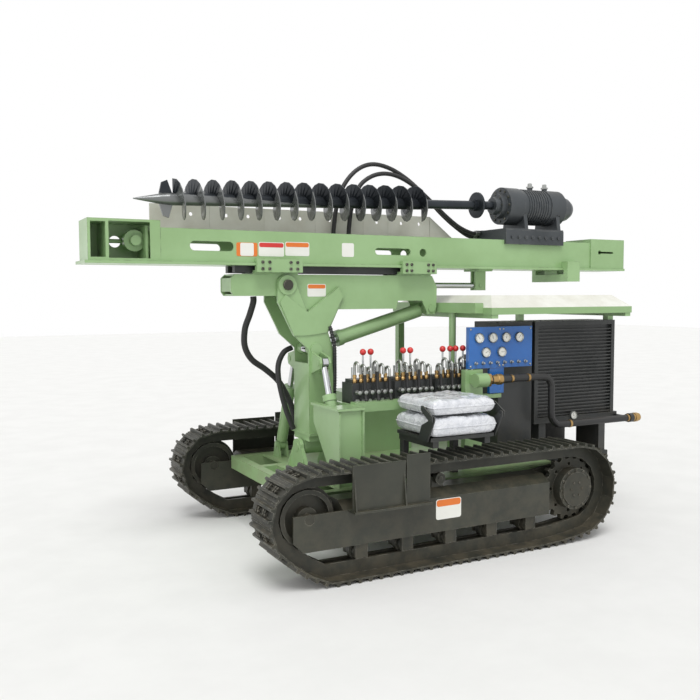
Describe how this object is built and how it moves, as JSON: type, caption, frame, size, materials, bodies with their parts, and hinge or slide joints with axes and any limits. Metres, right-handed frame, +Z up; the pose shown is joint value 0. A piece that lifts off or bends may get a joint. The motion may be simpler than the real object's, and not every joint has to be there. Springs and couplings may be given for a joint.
{
  "type": "crawler pile drilling rig",
  "caption": "Small crawler drilling rig: mast with feed carriage and rotary head driving a short auger, on a tilting post, with seat, valve bank, cooler and tracked undercarriage.",
  "frame": {"origin": "middle of the machine's bounding box, on the floor under the tracks", "axes": "+X forward to the mast's foot and the auger's tip, +Y to the operator's side, +Z up"},
  "size_m": [4.059, 1.98, 2.5029],
  "materials": {
    "green_paint": "semi-gloss pale green enamel",
    "track_steel": "matt olive black",
    "frame_black": "satin black",
    "auger_steel": "blue black, worn",
    "bright_steel": "polished",
    "cream_paint": "semi-gloss cream",
    "blue_paint": "gloss blue",
    "seat_vinyl": "vinyl under clear film",
    "hose_rubber": "matt"
  },
  "bodies": {
    "chassis": {"deck_frame": "green_paint", "cross_beams": "frame_black", "track_frame_left": "frame_black", "track_frame_right": "frame_black", "track_left": "track_steel", "track_right": "track_steel", "running_gear_left": "track_steel", "running_gear_right": "track_steel", "drive_left": "track_steel", "drive_right": "track_steel", "step_brackets": "frame_black", "post_stand": "green_paint", "engine_block": "frame_black", "cooler": "frame_black", "control_cabinet": "frame_black", "oil_tank": "green_paint", "canopy": "cream_paint", "canopy_posts": "green_paint", "gauge_panel": "blue_paint", "console_frame": "green_paint", "valve_bank": "frame_black", "valve_levers": "bright_steel", "seat_base": "frame_black", "seat_cushion": "seat_vinyl", "air_pipe": "hose_rubber", "air_fittings": "frame_black"},
    "seat_back": {"seat_back": "seat_vinyl", "seat_arms": "frame_black"},
    "post": {"post": "green_paint", "post_hose": "hose_rubber"},
    "boom": {"boom_beam": "green_paint", "mast_guides": "green_paint", "slide_rails": "frame_black"},
    "mast": {"mast": "green_paint", "mast_foot": "green_paint", "hose_tray": "cream_paint", "slide_rod": "bright_steel", "feed_hose_long": "hose_rubber", "feed_hose_short": "hose_rubber"},
    "head": {"head_carriage": "frame_black", "rotary_head": "frame_black"},
    "auger": {"auger": "auger_steel", "auger_flight": "auger_steel"},
    "pitch_barrel": {"pitch_barrel": "green_paint"},
    "pitch_rod": {"pitch_rod": "bright_steel"},
    "tilt_barrel_near": {"tilt_barrel_near": "green_paint"},
    "tilt_rod_near": {"tilt_rod_near": "bright_steel"},
    "tilt_barrel_far": {"tilt_barrel_far": "green_paint"},
    "tilt_rod_far": {"tilt_rod_far": "bright_steel"}
  },
  "joints": [
    {"name": "post_tilt", "type": "hinge", "parent": "chassis", "child": "post", "pos_m": [0.5775, 0, 0.6], "axis": [1, 0, 0], "range_deg": [-10, 10]},
    {"name": "boom_pitch", "type": "hinge", "parent": "post", "child": "boom", "pos_m": [0.8085, 0, 1.648], "axis": [0, 1, 0], "range_deg": [0, 90], "deforming": ["post_hose"]},
    {"name": "mast_slide", "type": "slide", "parent": "boom", "child": "mast", "axis": [1, 0, 0], "range_m": [-0.2, 0.34]},
    {"name": "head_feed", "type": "slide", "parent": "mast", "child": "head", "axis": [1, 0, 0], "range_m": [0, 2.35], "deforming": ["feed_hose_long", "feed_hose_short"]},
    {"name": "auger_spin", "type": "hinge", "parent": "head", "child": "auger", "pos_m": [-0.8435, 0, 2.228], "axis": [0.9995, 0, -0.0314], "continuous": true},
    {"name": "pitch_barrel_pivot", "type": "hinge", "parent": "boom", "child": "pitch_barrel", "pos_m": [-0.2735, 0, 1.49], "axis": [0, 1, 0], "range_deg": [-13.38, 1.15]},
    {"name": "pitch_rod_slide", "type": "slide", "parent": "pitch_barrel", "child": "pitch_rod", "axis": [0.9623, 0, -0.2718], "range_m": [-0.01, 0.6265]},
    {"name": "seat_back_fold", "type": "hinge", "parent": "chassis", "child": "seat_back", "pos_m": [0.0265, 0.945, 0.876], "axis": [-1, 0, 0], "range_deg": [0, 100]},
    {"name": "tilt_barrel_near_pivot", "type": "hinge", "parent": "chassis", "child": "tilt_barrel_near", "pos_m": [0.6115, 0.47, 0.535], "axis": [1, 0, 0], "range_deg": [-7.13, 7.13]},
    {"name": "tilt_rod_near_slide", "type": "slide", "parent": "tilt_barrel_near", "child": "tilt_rod_near", "axis": [0, -0.365, 0.931], "range_m": [-0.0782, 0.0782]},
    {"name": "tilt_barrel_far_pivot", "type": "hinge", "parent": "chassis", "child": "tilt_barrel_far", "pos_m": [0.6115, -0.47, 0.535], "axis": [1, 0, 0], "range_deg": [-7.13, 7.13]},
    {"name": "tilt_rod_far_slide", "type": "slide", "parent": "tilt_barrel_far", "child": "tilt_rod_far", "axis": [0, 0.365, 0.931], "range_m": [-0.0782, 0.0782]}
  ],
  "couplings": [
    {"joint": "pitch_barrel_pivot", "follows": "boom_pitch", "ratio": -0.136},
    {"joint": "pitch_rod_slide", "follows": "boom_pitch", "m_per_rad": 0.3925},
    {"joint": "tilt_barrel_near_pivot", "follows": "post_tilt", "ratio": 0.65567},
    {"joint": "tilt_rod_near_slide", "follows": "post_tilt", "m_per_rad": 0.41344},
    {"joint": "tilt_barrel_far_pivot", "follows": "post_tilt", "ratio": 0.65567},
    {"joint": "tilt_rod_far_slide", "follows": "post_tilt", "m_per_rad": -0.41344}
  ]
}
